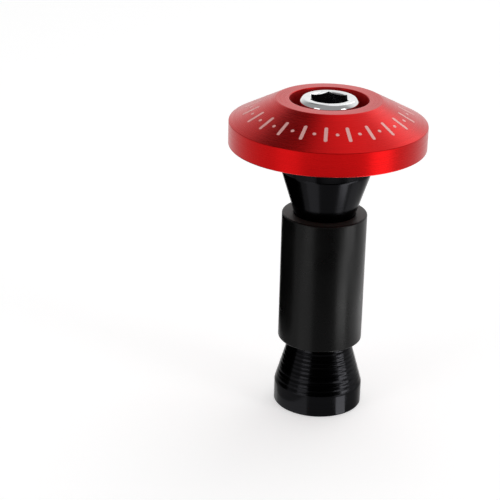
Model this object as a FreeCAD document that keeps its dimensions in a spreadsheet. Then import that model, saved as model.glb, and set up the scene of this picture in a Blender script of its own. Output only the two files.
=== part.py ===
"""Handlebar end cap: an expanding plug that closes the open end of a motorbike's handlebar.

The clamp screw goes through the end cap and the upper wedge cone into the lower wedge nut. Turning it draws
the nut up, and the two wedges spread the rubber sleeve between them against the inside of the bar.

Sizes are in millimetres. The origin is on the axis, in the plane of the seat that meets the end of the bar,
and +Z points out of the bar, towards the head of the screw.
"""

import FreeCAD
import Part

import os

import Sketcher

# Driving dimensions: alias in the sheet, value, what it measures.
DIMENSIONS = [
    ("cap_diameter", 33.2, "end cap over its rim"),
    ("cap_rim_height", 4.0, "straight rim of the end cap"),
    ("cap_face_height", 4.0, "sloping face of the end cap, from rim to flat ring"),
    ("cap_ring_diameter", 17.8, "flat ring at the middle of the cap's face, outside"),
    ("cap_edge_break", 0.2, "broken edges of the end cap"),
    ("head_pocket_diameter", 13.2, "pocket in the cap that the screw's head sits in"),
    ("head_pocket_depth", 5.8, "pocket below the flat ring"),
    ("register_depth", 1.0, "recess in the cap's seat that centres the upper wedge"),
    ("register_clearance", 0.1, "gap round the upper wedge in that recess"),
    ("screw_diameter", 6.0, "clamp screw over its thread"),
    ("screw_length", 45.0, "clamp screw below its head"),
    ("screw_point_chamfer", 0.7, "chamfer at the screw's point"),
    ("head_diameter", 10.0, "screw head"),
    ("head_height", 6.0, "screw head"),
    ("head_chamfer", 0.6, "chamfer round the top of the head"),
    ("socket_flats", 6.0, "hexagon socket across its flats"),
    ("socket_depth", 3.2, "hexagon socket, straight walls"),
    ("socket_point_depth", 1.2, "drill point below the socket"),
    ("socket_mouth_diameter", 7.0, "conical mouth of the socket, at the top of the head"),
    ("screw_hole_clearance", 0.2, "gap round the screw in the cap and the upper wedge"),
    ("thread_clearance", 0.05, "gap round the screw in the nut's threaded hole"),
    ("plug_diameter", 15.3, "straight bands of both wedges, which enter the bar"),
    ("upper_band_height", 3.6, "upper wedge's band below the seat"),
    ("lower_band_height", 3.8, "lower wedge nut's band"),
    ("wedge_length", 12.0, "tapered part of each wedge"),
    ("wedge_tip_diameter", 8.4, "thin end of each wedge"),
    ("wedge_edge_break", 0.25, "broken edges of the wedges"),
    ("thread_mouth_chamfer", 0.6, "chamfer where the nut's thread opens at its foot"),
    ("sleeve_diameter", 14.5, "rubber sleeve, outside, not yet spread"),
    ("sleeve_bore", 10.5, "rubber sleeve, inside"),
    ("sleeve_length", 23.0, "rubber sleeve"),
    ("sleeve_edge_radius", 0.25, "rounded outer edges of the sleeve"),
    ("sleeve_seat_gap", 0.05, "gap along the axis between the sleeve and each wedge"),
]

# Expressions that several pieces share, in terms of the sheet.
CAP_HEIGHT = "(dims.cap_rim_height + dims.cap_face_height)"
POCKET_FLOOR = f"({CAP_HEIGHT} - dims.head_pocket_depth)"
SCREW_HOLE_RADIUS = "(dims.screw_diameter / 2 + dims.screw_hole_clearance)"
THREAD_HOLE_RADIUS = "(dims.screw_diameter / 2 + dims.thread_clearance)"
# How far the sleeve's mouth lies from a wedge's band, where its bore meets the taper.
WEDGE_REACH = (
    "(dims.wedge_length * (dims.plug_diameter - dims.sleeve_bore)"
    " / (dims.plug_diameter - dims.wedge_tip_diameter) + dims.sleeve_seat_gap)"
)
SLEEVE_TOP = f"(-dims.upper_band_height - {WEDGE_REACH})"
SLEEVE_FOOT = f"({SLEEVE_TOP} - dims.sleeve_length)"
NUT_FOOT = f"({SLEEVE_FOOT} - {WEDGE_REACH} - dims.lower_band_height)"


def make_sheet(doc):
    """The spreadsheet that holds every driving dimension."""
    sheet = doc.addObject("Spreadsheet::Sheet", "dims")
    for row, (alias, value, meaning) in enumerate(DIMENSIONS, start=1):
        sheet.set(f"A{row}", alias)
        sheet.set(f"B{row}", str(value))
        sheet.set(f"C{row}", meaning)
        sheet.setAlias(f"B{row}", alias)
    doc.recompute()
    return sheet


def number(obj, expression):
    """Value of an expression in millimetres."""
    value = obj.evalExpression(expression)
    return float(getattr(value, "Value", value))


def origin_plane(body, role):
    return next(part for part in body.Origin.OriginFeatures if part.Role == role)


def new_body(doc, label, height):
    """A body whose own zero lies at the given height on the axis."""
    body = doc.addObject("PartDesign::Body", label)
    body.Label = label
    body.setExpression(".Placement.Base.z", height)
    return body


def new_sketch(body, name, role):
    sketch = body.newObject("Sketcher::SketchObject", name)
    sketch.AttachmentSupport = (origin_plane(body, role), [""])
    sketch.MapMode = "FlatFace"
    return sketch


def bind(sketch, constraint, name, expression):
    """Adds a dimension to a sketch and ties it to the sheet."""
    index = sketch.addConstraint(constraint)
    sketch.renameConstraint(index, name)
    sketch.setExpression(f"Constraints.{name}", expression)


def closed_outline(sketch, points):
    """Straight lines through the points and back to the first."""
    count = len(points)
    for i, point in enumerate(points):
        sketch.addGeometry(Part.LineSegment(point, points[(i + 1) % count]), False)
    for i in range(count):
        sketch.addConstraint(Sketcher.Constraint("Coincident", i, 2, (i + 1) % count, 1))


def section_sketch(body, name, corners):
    """Half section beside the axis. Each corner is a name, a radius and a height, both as expressions."""
    sketch = new_sketch(body, name, "XZ_Plane")
    places = [FreeCAD.Vector(number(body, r), number(body, z), 0) for _, r, z in corners]
    closed_outline(sketch, places)
    for i, (corner, radius, height) in enumerate(corners):
        if radius == "0":
            sketch.addConstraint(Sketcher.Constraint("PointOnObject", i, 1, -2))
        else:
            bind(sketch, Sketcher.Constraint("DistanceX", -1, 1, i, 1, places[i].x), f"{corner}_radius", radius)
        if height == "0":
            sketch.addConstraint(Sketcher.Constraint("PointOnObject", i, 1, -1))
        else:
            bind(sketch, Sketcher.Constraint("DistanceY", -1, 1, i, 1, places[i].y), f"{corner}_height", height)
    return sketch


def turn(body, kind, name, corners):
    """Turns a half section about the axis: a Revolution adds it, a Groove cuts it."""
    sketch = section_sketch(body, f"{name}_section", corners)
    feature = body.newObject(f"PartDesign::{kind}", name)
    feature.Profile = sketch
    feature.ReferenceAxis = (sketch, ["V_Axis"])
    feature.Angle = 360
    body.Document.recompute()
    return feature


def ring_edges(feature, rings):
    """Names of the circular edges at the given radius and height pairs."""
    found = []
    for radius, height in rings:
        r, z = number(feature, radius), number(feature, height)
        for i, edge in enumerate(feature.Shape.Edges, start=1):
            curve = edge.Curve
            if isinstance(curve, Part.Circle) and abs(curve.Radius - r) < 1e-6 and abs(curve.Center.z - z) < 1e-6:
                found.append(f"Edge{i}")
    if len(found) < len(rings):
        raise RuntimeError(f"{feature.Label}: {len(found)} of {len(rings)} edges found")
    return found


def dress(body, kind, name, base, rings, size):
    """A Chamfer or a Fillet on circular edges."""
    feature = body.newObject(f"PartDesign::{kind}", name)
    feature.Base = (base, ring_edges(base, rings))
    feature.setExpression("Size" if kind == "Chamfer" else "Radius", size)
    body.Document.recompute()
    return feature


def make_end_cap(doc):
    """Turned disc with a sloping face, a flat ring and a deep pocket for the screw's head."""
    body = new_body(doc, "end_cap", "0")
    rim = "dims.cap_diameter / 2"
    ring = "dims.cap_ring_diameter / 2"
    pocket = "dims.head_pocket_diameter / 2"
    register = "dims.plug_diameter / 2 + dims.register_clearance"
    solid = turn(body, "Revolution", "cap_disc", [
        ("hole_foot", SCREW_HOLE_RADIUS, "dims.register_depth"),
        ("register_top", register, "dims.register_depth"),
        ("register_mouth", register, "0"),
        ("seat_rim", rim, "0"),
        ("rim_top", rim, "dims.cap_rim_height"),
        ("ring_edge", ring, CAP_HEIGHT),
        ("pocket_mouth", pocket, CAP_HEIGHT),
        ("pocket_floor", pocket, POCKET_FLOOR),
        ("hole_top", SCREW_HOLE_RADIUS, POCKET_FLOOR),
    ])
    edges = [(rim, "0"), (rim, "dims.cap_rim_height"), (pocket, CAP_HEIGHT)]
    dress(body, "Chamfer", "cap_edges", solid, edges, "dims.cap_edge_break")
    return body


def make_upper_wedge(doc):
    """Cone with a straight band, thin end down. Its top enters the cap's recess, and is chamfered that deep."""
    body = new_body(doc, "upper_wedge_cone", "-dims.upper_band_height - dims.wedge_length")
    band = "dims.plug_diameter / 2"
    tip = "dims.wedge_tip_diameter / 2"
    top = "dims.wedge_length + dims.upper_band_height + dims.register_depth"
    solid = turn(body, "Revolution", "upper_cone", [
        ("hole_foot", SCREW_HOLE_RADIUS, "0"),
        ("tip", tip, "0"),
        ("band_foot", band, "dims.wedge_length"),
        ("band_top", band, top),
        ("hole_top", SCREW_HOLE_RADIUS, top),
    ])
    tip_edge = dress(body, "Chamfer", "upper_tip", solid, [(tip, "0")], "dims.wedge_edge_break")
    dress(body, "Chamfer", "register_lead", tip_edge, [(band, top)], "dims.register_depth")
    return body


def make_rubber_sleeve(doc):
    """Plain rubber tube whose mouths rest on the two tapers."""
    body = new_body(doc, "rubber_sleeve", SLEEVE_FOOT)
    outside = "dims.sleeve_diameter / 2"
    bore = "dims.sleeve_bore / 2"
    solid = turn(body, "Revolution", "sleeve_tube", [
        ("bore_foot", bore, "0"),
        ("outer_foot", outside, "0"),
        ("outer_top", outside, "dims.sleeve_length"),
        ("bore_top", bore, "dims.sleeve_length"),
    ])
    edges = [(outside, "0"), (outside, "dims.sleeve_length")]
    dress(body, "Fillet", "sleeve_edges", solid, edges, "dims.sleeve_edge_radius")
    return body


def make_lower_wedge_nut(doc):
    """Cone with a straight band and a threaded hole, thin end up. The thread is left plain."""
    body = new_body(doc, "lower_wedge_nut", NUT_FOOT)
    band = "dims.plug_diameter / 2"
    tip = "dims.wedge_tip_diameter / 2"
    top = "dims.lower_band_height + dims.wedge_length"
    solid = turn(body, "Revolution", "lower_cone", [
        ("hole_foot", THREAD_HOLE_RADIUS, "0"),
        ("band_foot", band, "0"),
        ("band_top", band, "dims.lower_band_height"),
        ("tip", tip, top),
        ("hole_top", THREAD_HOLE_RADIUS, top),
    ])
    edges = dress(body, "Chamfer", "lower_edges", solid, [(band, "0"), (tip, top)], "dims.wedge_edge_break")
    dress(body, "Chamfer", "thread_mouth", edges, [(THREAD_HOLE_RADIUS, "0")], "dims.thread_mouth_chamfer")
    return body


def hexagon_sketch(body, name, flats, height):
    """Regular hexagon about the axis, with two corners on the Y axis, at the given height."""
    sketch = new_sketch(body, name, "XY_Plane")
    sketch.setExpression(".AttachmentOffset.Base.z", height)
    corner_radius = f"{flats} / sqrt(3)"
    reach = number(body, corner_radius)
    upward = FreeCAD.Vector(0, reach, 0)
    turn_by = [FreeCAD.Rotation(FreeCAD.Vector(0, 0, 1), 60 * i) for i in range(6)]
    closed_outline(sketch, [rotation.multVec(upward) for rotation in turn_by])
    circle = sketch.addGeometry(Part.Circle(FreeCAD.Vector(), FreeCAD.Vector(0, 0, 1), reach), True)
    sketch.addConstraint(Sketcher.Constraint("Coincident", circle, 3, -1, 1))
    for i in range(6):
        sketch.addConstraint(Sketcher.Constraint("PointOnObject", i, 1, circle))
    for i in range(1, 6):
        sketch.addConstraint(Sketcher.Constraint("Equal", 0, i))
    sketch.addConstraint(Sketcher.Constraint("PointOnObject", 0, 1, -2))
    bind(sketch, Sketcher.Constraint("Radius", circle, reach), "corner_radius", corner_radius)
    return sketch


def make_clamp_screw(doc):
    """Cap screw with a hexagon socket under a 120 degree mouth. Its thread is left plain, at the outer diameter."""
    body = new_body(doc, "clamp_screw", f"{POCKET_FLOOR} - dims.screw_length")
    shank = "dims.screw_diameter / 2"
    head = "dims.head_diameter / 2"
    top = "dims.screw_length + dims.head_height"
    turned = turn(body, "Revolution", "screw_blank", [
        ("point", "0", "0"),
        ("shank_foot", shank, "0"),
        ("shank_top", shank, "dims.screw_length"),
        ("head_foot", head, "dims.screw_length"),
        ("head_top", head, top),
        ("crown", "0", top),
    ])
    crown = dress(body, "Chamfer", "head_edge", turned, [(head, top)], "dims.head_chamfer")
    dress(body, "Chamfer", "screw_point", crown, [(shank, "0")], "dims.screw_point_chamfer")
    socket = body.newObject("PartDesign::Pocket", "socket")
    socket.Profile = hexagon_sketch(body, "socket_hexagon", "dims.socket_flats", top)
    socket.setExpression("Length", "dims.socket_depth")
    doc.recompute()
    floor = f"{top} - dims.socket_depth"
    turn(body, "Groove", "socket_point", [
        ("drill_point", "0", f"{floor} - dims.socket_point_depth"),
        ("drill_edge", "dims.socket_flats / 2", floor),
        ("drill_middle", "0", floor),
    ])
    mouth = "dims.socket_mouth_diameter / 2"
    turn(body, "Groove", "socket_mouth", [
        ("mouth_point", "0", f"{top} - {mouth} / sqrt(3)"),
        ("mouth_edge", mouth, top),
        ("mouth_middle", "0", top),
    ])
    return body


def check(doc, bodies):
    """Stops if any object failed to compute, or a piece isn't one sound solid."""
    for obj in doc.Objects:
        if {"Invalid", "Error"} & set(obj.State):
            raise RuntimeError(f"{obj.Label}: {obj.State}")
    for body in bodies:
        shape = body.Shape
        if shape.isNull() or not shape.isValid() or len(shape.Solids) != 1:
            raise RuntimeError(f"{body.Label} is not one sound solid")


def main():
    doc = FreeCAD.newDocument("handlebar_end_cap")
    make_sheet(doc)
    makers = (make_end_cap, make_upper_wedge, make_rubber_sleeve, make_lower_wedge_nut, make_clamp_screw)
    bodies = [make(doc) for make in makers]
    doc.recompute()
    check(doc, bodies)
    os.makedirs("parts", exist_ok=True)
    for body in bodies:
        body.Shape.exportStep(f"parts/{body.Label}.step")
        box = body.Shape.BoundBox
        print(f"{body.Label}: {body.Shape.Volume:.1f} mm3, z {box.ZMin:.3f} to {box.ZMax:.3f}")


main()
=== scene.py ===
"""Handlebar end cap, dressed: a red turned cap, a bright clamp screw, two black wedges and a rubber sleeve.

Sizes are named in millimetres and turned to metres where a mesh is made. Every piece's axis is the Z axis.
"""

import math

import bmesh
import bpy
from mathutils import Matrix, Vector


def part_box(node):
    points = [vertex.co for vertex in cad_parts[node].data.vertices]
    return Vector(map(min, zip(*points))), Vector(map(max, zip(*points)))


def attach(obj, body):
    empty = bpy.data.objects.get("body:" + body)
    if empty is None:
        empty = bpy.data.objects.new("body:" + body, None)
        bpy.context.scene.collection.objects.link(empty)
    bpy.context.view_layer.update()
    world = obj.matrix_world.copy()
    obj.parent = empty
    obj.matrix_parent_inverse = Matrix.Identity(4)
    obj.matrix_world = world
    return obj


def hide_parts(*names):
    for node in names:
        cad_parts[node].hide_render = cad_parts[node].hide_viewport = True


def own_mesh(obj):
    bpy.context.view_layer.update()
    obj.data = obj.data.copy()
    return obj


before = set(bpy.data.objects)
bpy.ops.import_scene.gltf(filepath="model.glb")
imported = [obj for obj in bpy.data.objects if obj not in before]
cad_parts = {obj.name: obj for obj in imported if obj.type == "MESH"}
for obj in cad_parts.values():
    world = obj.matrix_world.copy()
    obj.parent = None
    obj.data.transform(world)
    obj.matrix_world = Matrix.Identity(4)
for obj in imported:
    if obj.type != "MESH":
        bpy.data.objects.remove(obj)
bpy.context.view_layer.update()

MM = 0.001
TURN_STEPS = 192
ROUNDING_STEPS = 4
WELD = 0.0002
# Faces are told apart by their place, within this much.
FACE_SLACK = 0.05

# Heights and outer radii come from the frame; these are the sizes inside each piece, in millimetres.
LIGHT_EDGE = 0.1
HIDDEN_EDGE = 0.05

RIM_HEIGHT = 4.0
RIM_EDGE = 0.08
RING_RADIUS = 8.9
RING_EDGE = 0.12
POCKET_RADIUS = 6.6
POCKET_DEPTH = 5.8
POCKET_FLOOR_EDGE = 0.15
REGISTER_RADIUS = 7.75
REGISTER_DEPTH = 1.0
SCREW_HOLE_RADIUS = 3.2
EDGE_BREAK = 0.2

WEDGE_LENGTH = 12.0
WEDGE_TIP_RADIUS = 4.2
WEDGE_EDGE = 0.25
BAND_EDGE = 0.2
# The upper wedge's band reaches lower than the solid's. Its taper meets the solid's again at the knee.
UPPER_BAND_FOOT = -4.4
UPPER_KNEE = -11.5
FEED_PITCH = 0.75
FEED_DEPTHS = (0.029, 0.016, 0.035, 0.012, 0.026, 0.019, 0.032)
FEED_POINTS = (0.25, 0.5, 0.75, 1.0)

SLEEVE_BORE_RADIUS = 5.25
SLEEVE_BORE_EDGE = 0.12
SLEEVE_EDGE = 0.25
# Upright share of the normal above which a face belongs to a cut end.
SLEEVE_END_NORMAL = 0.99

HEAD_HEIGHT = 6.0
HEAD_CHAMFER = 0.6
HEAD_EDGE = 0.2
HEAD_SHOULDER_EDGE = 0.25
SHANK_RADIUS = 3.0
POINT_CHAMFER = 0.7
SOCKET_FLATS = 6.0
SOCKET_DEPTH = 3.2
SOCKET_POINT = 1.2
SOCKET_POINT_LAP = 0.2
SOCKET_MOUTH_RADIUS = 3.5
# Depth of the bright lip above the socket's dull steel with painted shade.
SOCKET_LIP = 0.4

# A thread is cut by a bar that tapers from its mouth to its root and starts clear of the surface.
THREAD_PITCH = 1.0
THREAD_STEPS = 32
THREAD_MOUTH_WIDTH = 0.9
THREAD_CLEAR = 0.1
SCREW_THREAD_LENGTH = 24.0
SCREW_THREAD_DEPTH = 0.55
SCREW_THREAD_ROOT = 0.12
NUT_HOLE_RADIUS = 3.05
NUT_HOLE_CHAMFER = 0.6
NUT_THREAD_DEPTH = 0.4
NUT_THREAD_ROOT = 0.15

MARK_COUNT = 22
MARK_RADIUS = 12.9
MARK_LENGTH = 3.2
MARK_WIDTH = 0.6
MARK_PROUD = 0.012
MARK_STEPS = 24


def extent(node):
    """Outer radius, foot and top of a node, in millimetres."""
    low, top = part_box(node)
    return top.x / MM, low.z / MM, top.z / MM


CAP_RADIUS, SEAT, CAP_TOP = extent("end_cap")
HEAD_RADIUS, SCREW_POINT, HEAD_TOP = extent("clamp_screw")
BAND_RADIUS, UPPER_TIP, UPPER_TOP = extent("upper_wedge_cone")
SLEEVE_RADIUS, SLEEVE_FOOT, SLEEVE_TOP = extent("rubber_sleeve")
NUT_RADIUS, NUT_FOOT, NUT_TIP = extent("lower_wedge_nut")


# Colours and nodes

# The middle of what a noise gives, where nearly all of it lies.
NOISE_SPAN = (0.3, 0.7)


def linear(code):
    """Linear colour of an sRGB hex value."""
    channels = [int(code[i:i + 2], 16) / 255 for i in (1, 3, 5)]
    return [c / 12.92 if c <= 0.04045 else ((c + 0.055) / 1.055) ** 2.4 for c in channels] + [1.0]


def add(tree, kind, inputs=None, **settings):
    """A new node with its settings, and its inputs as values or links."""
    node = tree.nodes.new(kind)
    for key, value in settings.items():
        setattr(node, key, value)
    for socket, value in (inputs or {}).items():
        if isinstance(value, bpy.types.NodeSocket):
            tree.links.new(value, node.inputs[socket])
        else:
            node.inputs[socket].default_value = value
    return node


def new_material(name, **sockets):
    """A material and its shader, with the sockets that are the same all over the surface."""
    material = bpy.data.materials.new(name)
    material.use_nodes = True
    shader = material.node_tree.nodes["Principled BSDF"]
    for socket, value in sockets.items():
        shader.inputs[socket.replace("_", " ")].default_value = value
    return material, material.node_tree, shader


def object_place(tree):
    """Place on the piece, which moves with it."""
    return add(tree, "ShaderNodeTexCoord").outputs["Object"]


def lathe_rings(tree, place):
    """Distance from the axis and height, so that a pattern on them runs in rings as turned marks do."""
    flat = add(tree, "ShaderNodeVectorMath", {0: place, 1: (1, 1, 0)}, operation="MULTIPLY")
    radius = add(tree, "ShaderNodeVectorMath", {0: flat.outputs[0]}, operation="LENGTH")
    height = add(tree, "ShaderNodeSeparateXYZ", {0: place})
    rings = add(tree, "ShaderNodeCombineXYZ", {"X": radius.outputs["Value"], "Y": height.outputs["Z"]})
    return rings.outputs[0]


def noise(tree, place, grain, detail):
    """Noise whose grain is this many millimetres."""
    scale = 1 / (grain * MM)
    made = add(tree, "ShaderNodeTexNoise", {"Vector": place, "Scale": scale, "Detail": detail})
    return made.outputs["Fac"]


def colour(tree, shader, pattern, first, last):
    """Colours a surface between two hex values, by a pattern."""
    tint = add(tree, "ShaderNodeMix", {0: pattern, 6: linear(first), 7: linear(last)}, data_type="RGBA")
    tree.links.new(tint.outputs[2], shader.inputs["Base Color"])


def roughen(tree, shader, pattern, least, most, span=(0.0, 1.0)):
    """Gives a surface a roughness between two values, as a pattern runs over its span."""
    gloss = add(tree, "ShaderNodeMapRange", {
        "Value": pattern, "From Min": span[0], "From Max": span[1], "To Min": least, "To Max": most})
    tree.links.new(gloss.outputs[0], shader.inputs["Roughness"])


def emboss(tree, shader, pattern, strength, depth):
    """Gives a surface a relief this many millimetres deep, by a pattern."""
    relief = add(tree, "ShaderNodeBump", {"Height": pattern, "Strength": strength, "Distance": depth * MM})
    tree.links.new(relief.outputs[0], shader.inputs["Normal"])


def red_anodised_aluminium():
    # Turned aluminium under a dyed oxide skin: a deep red soft mirror with fine rings, paler seen edge on.
    material, tree, shader = new_material("red_anodised_aluminium", Metallic=0.95, Anisotropic=0.35)
    place = object_place(tree)
    # Feed marks are near 0.05 mm apart on the real face, drawn at 0.22 mm so that they show.
    feed = noise(tree, lathe_rings(tree, place), 0.22, 2.0)
    cloud = noise(tree, place, 6.0, 3.0)
    colour(tree, shader, cloud, "#AC0709", "#B80A0C")
    roughen(tree, shader, feed, 0.24, 0.32, NOISE_SPAN)
    emboss(tree, shader, feed, 0.2, 0.006)
    around = add(tree, "ShaderNodeTangent", direction_type="RADIAL", axis="Z")
    tree.links.new(around.outputs[0], shader.inputs["Tangent"])
    return material


def bored_red_with_painted_fill():
    # The pocket is bored with a coarser tool before dyeing, so it is matt and light spreads in it. Its red is
    # paler than the rim's: painted light that keeps the recess from going dark.
    material, tree, shader = new_material("bored_red_with_painted_fill", Metallic=0.4)
    feed = noise(tree, lathe_rings(tree, object_place(tree)), 0.3, 2.0)
    colour(tree, shader, feed, "#B8090B", "#C80C0E")
    roughen(tree, shader, feed, 0.4, 0.55)
    return material


def etched_aluminium():
    # Laser etching burns the dye away and leaves frosted bare metal: pale, matt and faintly pink.
    material, tree, shader = new_material("etched_aluminium", Metallic=0.4)
    # The laser's hatching is near 0.05 mm, drawn at 0.15 mm so that it shows.
    frost = noise(tree, object_place(tree), 0.15, 2.0)
    colour(tree, shader, frost, "#DE9C99", "#F0BDB9")
    roughen(tree, shader, frost, 0.45, 0.65)
    return material


def bright_plated_steel():
    # Plated steel: a nearly clean mirror, a little uneven over the forged head, with faint handling haze.
    material, tree, shader = new_material("bright_plated_steel", Metallic=1.0)
    haze = noise(tree, object_place(tree), 1.4, 4.0)
    colour(tree, shader, haze, "#C6C8C9", "#D9DBDB")
    roughen(tree, shader, haze, 0.06, 0.16, NOISE_SPAN)
    emboss(tree, shader, haze, 0.3, 0.05)
    return material


def socket_steel_with_painted_shade():
    # Inside the socket the plating is thin and oily, so the steel is dull. Its dark grey is also painted
    # shade for the deep recess.
    material, tree, shader = new_material(
        "oiled_socket_painted_shade", Metallic=1.0, Specular_Tint=linear("#707070"))
    film = noise(tree, object_place(tree), 0.8, 3.0)
    colour(tree, shader, film, "#2A2A2C", "#404042")
    roughen(tree, shader, film, 0.3, 0.5)
    return material


def black_anodised_aluminium():
    # Turned aluminium dyed black: dark, glossy, dark to its edges, with highlights broken by the feed marks.
    material, tree, shader = new_material(
        "black_anodised_aluminium", Metallic=1.0, Specular_Tint=linear("#C8C8C8"))
    # Fine feed marks are near 0.05 mm apart, drawn at 0.2 mm so that they show.
    feed = noise(tree, lathe_rings(tree, object_place(tree)), 0.2, 2.0)
    colour(tree, shader, feed, "#141415", "#19191B")
    roughen(tree, shader, feed, 0.14, 0.21, NOISE_SPAN)
    emboss(tree, shader, feed, 0.25, 0.004)
    return material


def moulded_rubber():
    # Moulded black rubber: a soft satin skin with a fine grain and broad dull highlights.
    material, tree, shader = new_material("moulded_rubber", Metallic=0.0, Specular_IOR_Level=0.10)
    place = object_place(tree)
    # The mould's grain is near 0.03 mm, drawn at 0.25 mm so that it shows.
    grain = noise(tree, place, 0.25, 3.0)
    bloom = noise(tree, place, 5.0, 4.0)
    colour(tree, shader, bloom, "#060606", "#0B0B0B")
    roughen(tree, shader, bloom, 0.25, 0.33, NOISE_SPAN)
    emboss(tree, shader, grain, 0.25, 0.02)
    return material


def cut_rubber():
    # The sleeve's cut ends: dull, a little brown, with the torn speckle that a knife leaves.
    material, tree, shader = new_material("cut_rubber", Metallic=0.0, Specular_IOR_Level=0.35)
    speckle = noise(tree, object_place(tree), 0.3, 4.0)
    colour(tree, shader, speckle, "#141110", "#28231F")
    roughen(tree, shader, speckle, 0.4, 0.6)
    emboss(tree, shader, speckle, 0.5, 0.05)
    return material


# Shaping

def turned(corners, closed=True):
    """Turns a half section on the lathe. Corners are radius, height and rounding, in millimetres."""
    bm = bmesh.new()
    points = [bm.verts.new((radius * MM, 0, height * MM)) for radius, height, _ in corners]
    followers = points[1:] + points[:1] if closed else points[1:]
    for point, follower in zip(points, followers):
        bm.edges.new((point, follower))
    for point, (_, _, rounding) in zip(points, corners):
        if rounding:
            bmesh.ops.bevel(
                bm, geom=[point], offset=rounding * MM, offset_type="OFFSET", segments=ROUNDING_STEPS,
                profile=0.5, affect="VERTICES", material=-1)
    bmesh.ops.spin(
        bm, geom=bm.verts[:] + bm.edges[:], cent=(0, 0, 0), axis=(0, 0, 1), angle=2 * math.pi,
        steps=TURN_STEPS, use_merge=True)
    bmesh.ops.remove_doubles(bm, verts=bm.verts, dist=WELD * MM)
    bmesh.ops.recalc_face_normals(bm, faces=bm.faces)
    return bm


def screw_groove(inner, outer, inner_width, outer_width, foot, turns):
    """A closed right-hand helical bar that cuts a thread."""
    bm = bmesh.new()
    section = [
        (inner, -inner_width / 2),
        (outer, -outer_width / 2),
        (outer, outer_width / 2),
        (inner, inner_width / 2),
    ]
    points = [bm.verts.new((radius * MM, 0, (foot + height) * MM)) for radius, height in section]
    for point, follower in zip(points, points[1:] + points[:1]):
        bm.edges.new((point, follower))
    bmesh.ops.spin(
        bm, geom=bm.verts[:] + bm.edges[:], cent=(0, 0, 0), axis=(0, 0, 1), angle=2 * math.pi * turns,
        steps=THREAD_STEPS * turns, dvec=(0, 0, THREAD_PITCH * MM / THREAD_STEPS))
    bmesh.ops.holes_fill(bm, edges=bm.edges, sides=len(section))
    bmesh.ops.recalc_face_normals(bm, faces=bm.faces)
    return bm


def new_object(name, bm):
    """An object at the origin, with its place in the mesh."""
    mesh = bpy.data.meshes.new(name)
    bm.to_mesh(mesh)
    bm.free()
    made = bpy.data.objects.new(name, mesh)
    bpy.context.scene.collection.objects.link(made)
    return made


def cut_away(piece, cutter_bm):
    """Takes the cutter's shape out of a piece."""
    cutter = new_object("cutter", cutter_bm)
    step = piece.modifiers.new("cut", "BOOLEAN")
    step.operation = "DIFFERENCE"
    step.solver = "EXACT"
    step.object = cutter
    bpy.context.view_layer.update()
    seen = piece.evaluated_get(bpy.context.evaluated_depsgraph_get())
    cut = bpy.data.meshes.new_from_object(seen)
    piece.modifiers.remove(step)
    piece.data = cut
    bpy.data.objects.remove(cutter)


def dress(piece, materials, body, node=None, crease=32):
    """Smooth shading up to a crease in degrees, materials, and the piece's place in the frame."""
    mesh = piece.data
    for material in materials:
        mesh.materials.append(material)
    mesh.shade_smooth()
    mesh.set_sharp_from_angle(angle=math.radians(crease))
    even = piece.modifiers.new("even_normals", "WEIGHTED_NORMAL")
    even.keep_sharp = True
    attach(piece, body)
    if node:
        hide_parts(node)


# Pieces

def make_end_cap():
    """Disc with a straight rim, a sloping face, a flat ring and a bored pocket."""
    floor = CAP_TOP - POCKET_DEPTH
    bm = turned([
        (SCREW_HOLE_RADIUS, REGISTER_DEPTH, HIDDEN_EDGE),
        (REGISTER_RADIUS, REGISTER_DEPTH, HIDDEN_EDGE),
        (REGISTER_RADIUS, SEAT, LIGHT_EDGE),
        (CAP_RADIUS, SEAT, EDGE_BREAK),
        (CAP_RADIUS, RIM_HEIGHT, RIM_EDGE),
        (RING_RADIUS, CAP_TOP, RING_EDGE),
        (POCKET_RADIUS, CAP_TOP, EDGE_BREAK),
        (POCKET_RADIUS, floor, POCKET_FLOOR_EDGE),
        (SCREW_HOLE_RADIUS, floor, LIGHT_EDGE),
    ])
    # Faces of the pocket take the paler red, painted light for the recess.
    for face in bm.faces:
        middle = face.calc_center_median() / MM
        within = middle.xy.length < POCKET_RADIUS + FACE_SLACK
        below = floor - FACE_SLACK < middle.z < CAP_TOP - EDGE_BREAK
        face.material_index = 1 if within and below else 0
    cap = new_object("turned_end_cap", bm)
    dress(cap, [red_anodised_aluminium(), bored_red_with_painted_fill()], "cap", "end_cap")


def make_etched_marks():
    """A ring of plain etched strokes and dots on the cap's sloping face."""
    run, drop = CAP_RADIUS - RING_RADIUS, CAP_TOP - RIM_HEIGHT
    slope = Vector((run, 0, -drop)).normalized()
    outward = Vector((drop, 0, run)).normalized()
    height = RIM_HEIGHT + (CAP_RADIUS - MARK_RADIUS) * drop / run
    seat = Vector((MARK_RADIUS, 0, height)) * MM
    on_slope = Matrix((slope, Vector((0, 1, 0)), outward)).transposed().to_4x4()
    on_slope.translation = seat - outward * MARK_PROUD * MM
    bm = bmesh.new()
    for place in range(2 * MARK_COUNT):
        reach = (MARK_LENGTH - MARK_WIDTH) / 2 * MM if place % 2 == 0 else 0
        disc = bmesh.ops.create_circle(
            bm, cap_ends=True, segments=MARK_STEPS, radius=MARK_WIDTH / 2 * MM)["verts"]
        bmesh.ops.translate(bm, verts=[v for v in disc if v.co.x > 0], vec=(reach, 0, 0))
        bmesh.ops.translate(bm, verts=[v for v in disc if v.co.x < 0], vec=(-reach, 0, 0))
        face = disc[0].link_faces[0]
        lifted = bmesh.ops.extrude_face_region(bm, geom=[face])["geom"]
        raised = [v for v in lifted if isinstance(v, bmesh.types.BMVert)]
        bmesh.ops.translate(bm, verts=raised, vec=(0, 0, 2 * MARK_PROUD * MM))
        around = Matrix.Rotation(math.pi * (place + 0.5) / MARK_COUNT, 4, "Z")
        bmesh.ops.transform(bm, matrix=around @ on_slope, verts=disc + raised)
    bmesh.ops.recalc_face_normals(bm, faces=bm.faces)
    marks = new_object("etched_ring_marks", bm)
    dress(marks, [etched_aluminium()], "cap")


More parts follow.
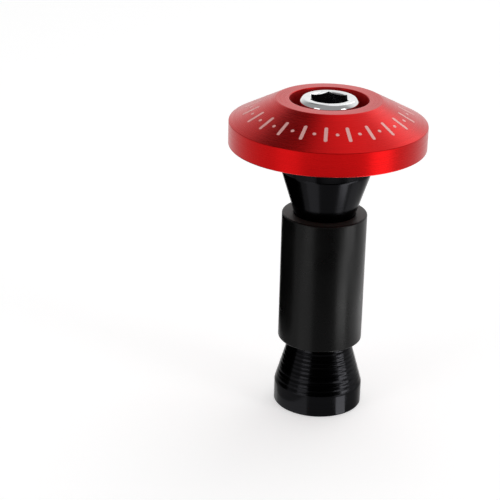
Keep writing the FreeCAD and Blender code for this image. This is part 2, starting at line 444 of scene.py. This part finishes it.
def make_clamp_screw():
    """Cap screw with a hexagon socket, a conical mouth and a helical thread."""
    head_foot = HEAD_TOP - HEAD_HEIGHT
    screw = new_object("plated_clamp_screw", turned([
        (0, SCREW_POINT, 0),
        (SHANK_RADIUS - POINT_CHAMFER, SCREW_POINT, HIDDEN_EDGE),
        (SHANK_RADIUS, SCREW_POINT + POINT_CHAMFER, HIDDEN_EDGE),
        (SHANK_RADIUS, head_foot, 0),
        (HEAD_RADIUS, head_foot, HEAD_EDGE),
        (HEAD_RADIUS, HEAD_TOP - HEAD_CHAMFER, HEAD_SHOULDER_EDGE),
        (HEAD_RADIUS - HEAD_CHAMFER, HEAD_TOP, HEAD_EDGE),
        (0, HEAD_TOP, 0),
    ], closed=False))
    hexagon = bmesh.new()
    corner_radius = SOCKET_FLATS / math.sqrt(3)
    bmesh.ops.create_cone(
        hexagon, cap_ends=True, segments=6, radius1=corner_radius * MM, radius2=corner_radius * MM,
        depth=2 * SOCKET_DEPTH * MM, matrix=Matrix.Translation((0, 0, HEAD_TOP * MM)))
    cut_away(screw, hexagon)
    socket_floor = HEAD_TOP - SOCKET_DEPTH
    cut_away(screw, turned([
        (0, socket_floor - SOCKET_POINT, 0),
        (SOCKET_FLATS / 2, socket_floor, 0),
        (0, socket_floor + SOCKET_POINT_LAP, 0),
    ], closed=False))
    mouth_depth = SOCKET_MOUTH_RADIUS / math.sqrt(3)
    cut_away(screw, turned([
        (0, HEAD_TOP - mouth_depth, 0),
        (2 * SOCKET_MOUTH_RADIUS, HEAD_TOP + mouth_depth, 0),
        (0, HEAD_TOP + mouth_depth, 0),
    ], closed=False))
    cut_away(screw, screw_groove(
        SHANK_RADIUS - SCREW_THREAD_DEPTH, SHANK_RADIUS + THREAD_CLEAR, SCREW_THREAD_ROOT, THREAD_MOUTH_WIDTH,
        SCREW_POINT - THREAD_PITCH, round(SCREW_THREAD_LENGTH / THREAD_PITCH)))
    dress(screw, [bright_plated_steel(), socket_steel_with_painted_shade()], "screw", "clamp_screw")
    # Faces inside the socket take the darker steel, painted shade for the recess.
    for face in screw.data.polygons:
        middle = face.center / MM
        within = middle.xy.length < corner_radius
        below = socket_floor - SOCKET_POINT - FACE_SLACK < middle.z < HEAD_TOP - SOCKET_LIP
        face.material_index = 1 if within and below else 0


def make_upper_wedge():
    """Cone under the cap, thin end down, with a band at its top."""
    taper = (BAND_RADIUS - WEDGE_TIP_RADIUS) / WEDGE_LENGTH
    wedge = new_object("turned_upper_wedge", turned([
        (SCREW_HOLE_RADIUS, UPPER_TIP, LIGHT_EDGE),
        (WEDGE_TIP_RADIUS, UPPER_TIP, WEDGE_EDGE),
        (WEDGE_TIP_RADIUS + (UPPER_KNEE - UPPER_TIP) * taper, UPPER_KNEE, 0),
        (BAND_RADIUS, UPPER_BAND_FOOT, BAND_EDGE),
        (BAND_RADIUS, SEAT, LIGHT_EDGE),
        (BAND_RADIUS - REGISTER_DEPTH, UPPER_TOP, HIDDEN_EDGE),
        (SCREW_HOLE_RADIUS, UPPER_TOP, HIDDEN_EDGE),
    ]))
    dress(wedge, [black_anodised_aluminium()], "cap", "upper_wedge_cone")


def make_rubber_sleeve():
    """Tube with cut ends. On the real plug it shortens as the nut is drawn up."""
    bm = turned([
        (SLEEVE_BORE_RADIUS, SLEEVE_FOOT, SLEEVE_BORE_EDGE),
        (SLEEVE_RADIUS, SLEEVE_FOOT, SLEEVE_EDGE),
        (SLEEVE_RADIUS, SLEEVE_TOP, SLEEVE_EDGE),
        (SLEEVE_BORE_RADIUS, SLEEVE_TOP, SLEEVE_BORE_EDGE),
    ])
    for face in bm.faces:
        face.material_index = 1 if abs(face.normal.z) > SLEEVE_END_NORMAL else 0
    sleeve = new_object("moulded_rubber_sleeve", bm)
    dress(sleeve, [moulded_rubber(), cut_rubber()], "sleeve", "rubber_sleeve")
    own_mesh(sleeve)


def make_lower_wedge_nut():
    """Cone with feed grooves, thin end up, with a band at its foot and a thread through it."""
    band_top = NUT_TIP - WEDGE_LENGTH
    foot_of_taper = Vector((NUT_RADIUS, band_top))
    tip = Vector((WEDGE_TIP_RADIUS, NUT_TIP))
    along = (tip - foot_of_taper).normalized()
    inward = Vector((-along.y, along.x))
    count = int((tip - foot_of_taper).length / FEED_PITCH) - 1
    grooves = []
    for i in range(count):
        depth = FEED_DEPTHS[i % len(FEED_DEPTHS)]
        for part in FEED_POINTS:
            point = foot_of_taper + along * (i + part + 0.5) * FEED_PITCH
            point += inward * depth * math.sin(math.pi * part)
            grooves.append((point.x, point.y, 0))
    nut = new_object("turned_lower_wedge_nut", turned([
        (NUT_HOLE_RADIUS + NUT_HOLE_CHAMFER, NUT_FOOT, HIDDEN_EDGE),
        (NUT_RADIUS, NUT_FOOT, WEDGE_EDGE),
        (NUT_RADIUS, band_top, BAND_EDGE),
        *grooves,
        (WEDGE_TIP_RADIUS, NUT_TIP, WEDGE_EDGE),
        (NUT_HOLE_RADIUS, NUT_TIP, HIDDEN_EDGE),
        (NUT_HOLE_RADIUS, NUT_FOOT + NUT_HOLE_CHAMFER, HIDDEN_EDGE),
    ]))
    cut_away(nut, screw_groove(
        NUT_HOLE_RADIUS - THREAD_CLEAR, NUT_HOLE_RADIUS + NUT_THREAD_DEPTH, THREAD_MOUTH_WIDTH,
        NUT_THREAD_ROOT, NUT_FOOT - THREAD_PITCH / 2, round((NUT_TIP - NUT_FOOT) / THREAD_PITCH) + 1))
    dress(nut, [black_anodised_aluminium()], "nut", "lower_wedge_nut")


# Studio

# Angles are in degrees. Sizes are in metres here, but the sensor's and the floor cards' are in millimetres.
CAMERA_PITCH = 22.154
CAMERA_ROLL = 1.385
FOCAL_PIXELS = 1650
FRAME_PIXELS = 500
FOOT_PIXEL = (316.8, 396.96)
FOOT_DEPTH = 0.293096
SENSOR_WIDTH = 36
CLIP_START = 0.01

FLOOR_REACH = 3.0
FLOOR_LIFT = 0.43
# The way to the backdrop's middle, the cosines to that way between which it brightens, and its strengths.
BACKDROP_WAY = (0.34, 0.94, 0)
BACKDROP_SPAN = (0.1, 0.8)
BACKDROP_STRENGTH = (0.42, 1.2)
# Watts that give a square metre of lamp a strength of one.
LAMP_WATTS = 4
CARD_LIFT = 0.05
STACK_AIM = (0, 0, -0.02)
TAPER_AIM = (0, 0, -0.0395)


def make_camera():
    """The photograph's view: the foot's middle falls on its pixel, at its depth."""
    pitch, roll = math.radians(CAMERA_PITCH), math.radians(CAMERA_ROLL)
    forward = Vector((0, math.cos(pitch), -math.sin(pitch)))
    level, upright = Vector((1, 0, 0)), Vector((0, math.sin(pitch), math.cos(pitch)))
    across = level * math.cos(roll) + upright * math.sin(roll)
    upward = upright * math.cos(roll) - level * math.sin(roll)
    right_by = (FOOT_PIXEL[0] - FRAME_PIXELS / 2) * FOOT_DEPTH / FOCAL_PIXELS
    down_by = (FOOT_PIXEL[1] - FRAME_PIXELS / 2) * FOOT_DEPTH / FOCAL_PIXELS
    data = bpy.data.cameras.new("camera")
    data.sensor_width = SENSOR_WIDTH
    data.lens = SENSOR_WIDTH * FOCAL_PIXELS / FRAME_PIXELS
    data.clip_start = CLIP_START
    camera = bpy.data.objects.new("camera", data)
    bpy.context.scene.collection.objects.link(camera)
    placed = Matrix((across, upward, -forward)).transposed().to_4x4()
    foot = Vector((0, 0, NUT_FOOT * MM))
    placed.translation = foot - across * right_by + upward * down_by - forward * FOOT_DEPTH
    camera.matrix_world = placed
    bpy.context.scene.camera = camera


def make_floor():
    """A wide white floor under the foot."""
    bm = bmesh.new()
    bmesh.ops.create_grid(bm, x_segments=2, y_segments=2, size=FLOOR_REACH)
    bmesh.ops.translate(bm, verts=bm.verts, vec=(0, 0, NUT_FOOT * MM))
    floor = new_object("studio_floor", bm)
    # Matt white paper: it takes a soft shadow, and is lifted to white where it is seen or mirrored.
    material, tree, shader = new_material(
        "white_paper", Base_Color=linear("#E6E6E6"), Roughness=0.9, Specular_IOR_Level=0.0,
        Emission_Color=linear("#FFFFFF"))
    ray = add(tree, "ShaderNodeLightPath").outputs
    mirrored = add(tree, "ShaderNodeMath", {
        0: ray["Is Glossy Ray"], 1: ray["Is Transmission Ray"]}, operation="MAXIMUM")
    seen = add(tree, "ShaderNodeMath", {0: ray["Is Camera Ray"], 1: mirrored.outputs[0]}, operation="MAXIMUM")
    lift = add(tree, "ShaderNodeMath", {0: seen.outputs[0], 1: FLOOR_LIFT}, operation="MULTIPLY")
    tree.links.new(lift.outputs[0], shader.inputs["Emission Strength"])
    floor.data.materials.append(material)


def make_world():
    """A bright backdrop behind the object and to its right, that darkens towards the camera's side."""
    world = bpy.data.worlds.new("studio")
    bpy.context.scene.world = world
    world.use_nodes = True
    tree = world.node_tree
    background = tree.nodes["Background"]
    way = add(tree, "ShaderNodeTexCoord").outputs["Generated"]
    behind = add(tree, "ShaderNodeVectorMath", {0: way, 1: BACKDROP_WAY}, operation="DOT_PRODUCT")
    backdrop = add(tree, "ShaderNodeMapRange", {
        "Value": behind.outputs["Value"], "From Min": BACKDROP_SPAN[0], "From Max": BACKDROP_SPAN[1],
        "To Min": BACKDROP_STRENGTH[0], "To Max": BACKDROP_STRENGTH[1]}, interpolation_type="SMOOTHSTEP")
    background.inputs["Color"].default_value = linear("#FFFFFF")
    tree.links.new(backdrop.outputs[0], background.inputs["Strength"])


def facing(azimuth, elevation, distance, aim):
    """A place that looks at a point. Azimuth counts to the right from the camera's side."""
    turn, rise = math.radians(azimuth), math.radians(elevation)
    away = Vector((math.sin(turn) * math.cos(rise), -math.cos(turn) * math.cos(rise), math.sin(rise)))
    turned_to_aim = away.to_track_quat("Z", "Y").to_matrix().to_4x4()
    return Matrix.Translation(Vector(aim) + away * distance) @ turned_to_aim


def softbox(name, azimuth, elevation, distance, width, height, radiance, aim=STACK_AIM):
    """A soft light that faces a point."""
    lamp = bpy.data.lights.new(name, "AREA")
    lamp.shape = "RECTANGLE"
    lamp.size = width
    lamp.size_y = height
    lamp.energy = LAMP_WATTS * width * height * radiance
    holder = bpy.data.objects.new(name, lamp)
    bpy.context.scene.collection.objects.link(holder)
    holder.matrix_world = facing(azimuth, elevation, distance, aim)
    holder.visible_camera = False
    return holder


def gloss_only(name, bm, material):
    """A sheet that is seen only in the gloss."""
    sheet = new_object(name, bm)
    sheet.data.materials.append(material)
    sheet.visible_camera = False
    sheet.visible_diffuse = False
    sheet.visible_shadow = False
    return sheet


def flag(name, azimuth, elevation, distance, width, height, aim, shade):
    """A dark cloth, seen only in the gloss, that faces a point: it paints dark reflections and nothing else.
    """
    bm = bmesh.new()
    bmesh.ops.create_grid(bm, x_segments=1, y_segments=1, size=0.5)
    bmesh.ops.scale(bm, vec=(width, height, 1), verts=bm.verts)
    bmesh.ops.transform(bm, matrix=facing(azimuth, elevation, distance, aim), verts=bm.verts)
    # Matt cloth: a painted dark reflection, an even dark patch where it is mirrored.
    material, _, _ = new_material(
        "dark_reflection_cloth", Base_Color=linear(shade), Roughness=1.0, Specular_IOR_Level=0.0)
    cloth = gloss_only(name, bm, material)


def floor_card(name, first, last, near, far, radiance):
    """A glowing card on the floor, seen only in the gloss, that paints a highlight on what mirrors it.

    An upright wall of the nut's radius mirrors it between two angles around the axis, in degrees, and between
    two reaches from the wall, in millimetres.
    """
    bm = bmesh.new()
    corners = []
    for angle, reach in ((first, near), (first, far), (last, far), (last, near)):
        turn = math.radians(angle)
        wall = Vector((math.sin(turn), -math.cos(turn), 0)) * NUT_RADIUS
        away = Vector((math.sin(2 * turn), -math.cos(2 * turn), 0)) * reach
        corners.append(bm.verts.new((wall + away + Vector((0, 0, NUT_FOOT + CARD_LIFT))) * MM))
    bmesh.ops.contextual_create(bm, geom=corners)
    # Card that glows with no lamp on it: a painted highlight, an even bright streak where it is mirrored.
    material, _, _ = new_material(
        "glowing_highlight_card", Base_Color=linear("#050505"), Roughness=1.0, Specular_IOR_Level=0.0,
        Emission_Color=linear("#FFFFFF"), Emission_Strength=radiance)
    card = gloss_only(name, bm, material)


def make_lights():
    """Soft panels that light the part, and the glowing cards and dark cloths that only its gloss mirrors, as
    painted highlights and painted dark reflections.
    """
    softbox("right_panel", 57, 22, 0.45, 0.14, 0.22, 2.4)
    softbox("left_panel", -50, 24, 0.50, 0.18, 0.24, 1.6)
    softbox("back_panel", 150, 40, 0.50, 0.20, 0.20, 0.85)
    softbox("top_panel", 155, 70, 0.50, 0.22, 0.22, 0.6)
    # Two cards give the cap's rim upright streaks, and two give the nut's taper glints on its feed marks.
    streaks = (
        softbox("right_card", 52, 15, 0.052, 0.022, 0.025, 1.1),
        softbox("left_card", -40, 15, 0.052, 0.022, 0.025, 0.35),
        softbox("right_glint", 71, 0, 0.075, 0.034, 0.0044, 12.0, TAPER_AIM),
        softbox("left_glint", -40, 0, 0.075, 0.029, 0.0044, 4.0, TAPER_AIM),
    )
    for streak in streaks:
        streak.visible_diffuse = False
    # Glowing cards on the floor paint highlight streaks on the black walls, with a dull one between them.
    floor_card("right_foot_card", 24, 38, 0.3, 9, 8.0)
    floor_card("right_near_card", 24, 38, 15, 33, 2.0)
    floor_card("right_far_card", 21, 35, 33, 80, 6.5)
    floor_card("right_side_card", 42, 70, 33, 60, 1.9)
    floor_card("left_foot_card", -75, -15, 0.3, 9, 1.9)
    floor_card("left_far_card", -33, -13, 15, 80, 1.9)
    floor_card("front_card", -12, 20, 0.3, 90, 0.6)
    # Two cloths to the left paint dark reflections on the black walls and the sloping face, and one in front
    # on the nut's taper.
    flag("low_flag", -115, 0, 0.030, 0.046, 0.032, (0, 0, -0.0312), "#050505")
    flag("high_flag", -140, 60, 0.12, 0.070, 0.060, (0, 0, 0.006), "#949494")
    flag("front_flag", 12, 0, 0.060, 0.094, 0.023, (0, 0, -0.0355), "#050505")


make_camera()
make_floor()
make_world()
make_lights()
make_end_cap()
make_etched_marks()
make_clamp_screw()
make_upper_wedge()
make_rubber_sleeve()
make_lower_wedge_nut()

bpy.context.scene.view_settings.view_transform = "Standard"
